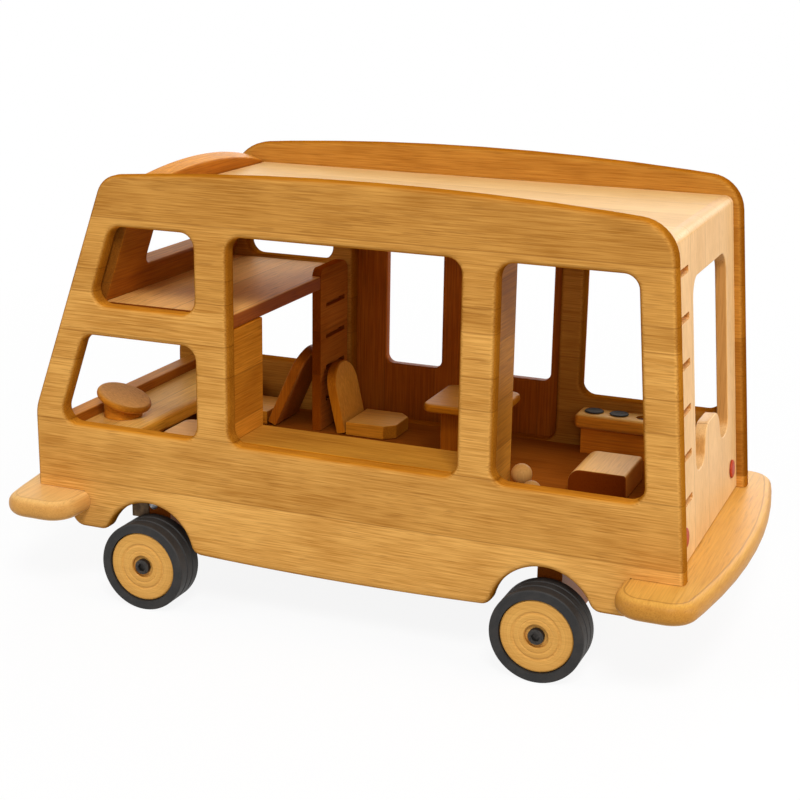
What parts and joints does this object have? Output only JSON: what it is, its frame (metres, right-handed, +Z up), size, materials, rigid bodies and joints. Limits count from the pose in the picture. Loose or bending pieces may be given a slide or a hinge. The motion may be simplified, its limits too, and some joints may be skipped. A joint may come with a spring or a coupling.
{
  "type": "toy camper van",
  "caption": "Wooden toy camper van with open windows, a sloping nose, bowed bumpers, rubber-tyred wheels, a sliding side door and loose furniture inside.",
  "frame": {"origin": "on the ground under the middle of the overall box", "axes": "+X along the length towards the rear, +Y towards the side with the sliding door, +Z up"},
  "size_m": [0.4878, 0.2692, 0.2935],
  "materials": {
    "side_wood": "clear satin lacquer",
    "roof_wood": "clear satin lacquer",
    "end_wood": "clear satin lacquer",
    "bumper_wood": "clear satin lacquer",
    "floor_wood": "oiled",
    "wall_wood": "oiled",
    "door_wood": "oiled",
    "hub_wood": "clear satin lacquer",
    "furniture_wood": "oiled",
    "figure_wood": "oiled",
    "black_rubber": "matt",
    "black_steel": "black oxide",
    "zinc_steel": "zinc plated",
    "red_paint": "painted red",
    "black_paint": "painted black",
    "brown_paint": "painted brown"
  },
  "bodies": {
    "chassis": {"axle_bracket": "zinc_steel", "bracket_screw": "zinc_steel", "bunk_shelf": "floor_wood", "cab_partition": "wall_wood", "dashboard": "wall_wood", "driver_seat": "furniture_wood", "floor_panel": "floor_wood", "front_apron": "end_wood", "front_axle_block": "wall_wood", "front_bumper": "bumper_wood", "front_burner": "black_paint", "front_left_bolt": "black_steel", "front_left_washer": "zinc_steel", "front_panel": "end_wood", "front_right_bolt": "black_steel", "front_right_washer": "zinc_steel", "kitchen_base": "wall_wood", "kitchen_counter": "furniture_wood", "kitchen_sink": "brown_paint", "ladder_board": "wall_wood", "left_side_panel": "side_wood", "left_tail_light": "red_paint", "lower_door_rail": "side_wood", "rear_axle_block": "wall_wood", "rear_bumper": "bumper_wood", "rear_burner": "black_paint", "rear_left_bolt": "black_steel", "rear_left_washer": "zinc_steel", "rear_panel": "end_wood", "rear_partition": "wall_wood", "rear_right_bolt": "black_steel", "rear_right_washer": "zinc_steel", "right_side_panel": "side_wood", "right_tail_light": "red_paint", "roof_panel": "roof_wood", "steering_column": "furniture_wood", "upper_door_rail": "side_wood"},
    "wheel_front_left": {"front_left_hub": "hub_wood", "front_left_tyre": "black_rubber"},
    "wheel_front_right": {"front_right_hub": "hub_wood", "front_right_tyre": "black_rubber"},
    "wheel_rear_left": {"rear_left_hub": "hub_wood", "rear_left_tyre": "black_rubber"},
    "wheel_rear_right": {"rear_right_hub": "hub_wood", "rear_right_tyre": "black_rubber"},
    "steering": {"steering_wheel": "furniture_wood"},
    "door": {"sliding_door": "door_wood"},
    "bench": {"bench": "furniture_wood"},
    "table": {"table_leg": "furniture_wood", "table_top": "furniture_wood"},
    "cab_chair": {"cab_chair_seat": "furniture_wood", "cab_chair_back": "furniture_wood"},
    "van_chair": {"van_chair_seat": "furniture_wood", "van_chair_back": "furniture_wood"},
    "tall_figure": {"tall_figure": "figure_wood"},
    "short_figure": {"short_figure": "figure_wood"}
  },
  "joints": [
    {"name": "front_left_spin", "type": "hinge", "parent": "chassis", "child": "wheel_front_left", "pos_m": [-0.1384, 0, 0.03], "axis": [0, 1, 0], "continuous": true},
    {"name": "front_right_spin", "type": "hinge", "parent": "chassis", "child": "wheel_front_right", "pos_m": [-0.1384, 0, 0.03], "axis": [0, 1, 0], "continuous": true},
    {"name": "rear_left_spin", "type": "hinge", "parent": "chassis", "child": "wheel_rear_left", "pos_m": [0.1336, 0, 0.03], "axis": [0, 1, 0], "continuous": true},
    {"name": "rear_right_spin", "type": "hinge", "parent": "chassis", "child": "wheel_rear_right", "pos_m": [0.1336, 0, 0.03], "axis": [0, 1, 0], "continuous": true},
    {"name": "steering_turn", "type": "hinge", "parent": "chassis", "child": "steering", "pos_m": [-0.1831, -0.055, 0.1239], "axis": [0.342, 0, 0.9397], "continuous": true},
    {"name": "door_slide", "type": "slide", "parent": "chassis", "child": "door", "axis": [1, 0, 0], "range_m": [0, 0.088]},
    {"name": "bench_lift", "type": "slide", "parent": "chassis", "child": "bench", "axis": [0, 0, 1], "range_m": [0, 0.04]},
    {"name": "table_lift", "type": "slide", "parent": "chassis", "child": "table", "axis": [0, 0, 1], "range_m": [0, 0.04]},
    {"name": "cab_chair_lift", "type": "slide", "parent": "chassis", "child": "cab_chair", "axis": [0, 0, 1], "range_m": [0, 0.04]},
    {"name": "van_chair_lift", "type": "slide", "parent": "chassis", "child": "van_chair", "axis": [0, 0, 1], "range_m": [0, 0.04]},
    {"name": "tall_figure_lift", "type": "slide", "parent": "chassis", "child": "tall_figure", "axis": [0, 0, 1], "range_m": [0, 0.04]},
    {"name": "short_figure_lift", "type": "slide", "parent": "chassis", "child": "short_figure", "axis": [0, 0, 1], "range_m": [0, 0.04]}
  ]
}
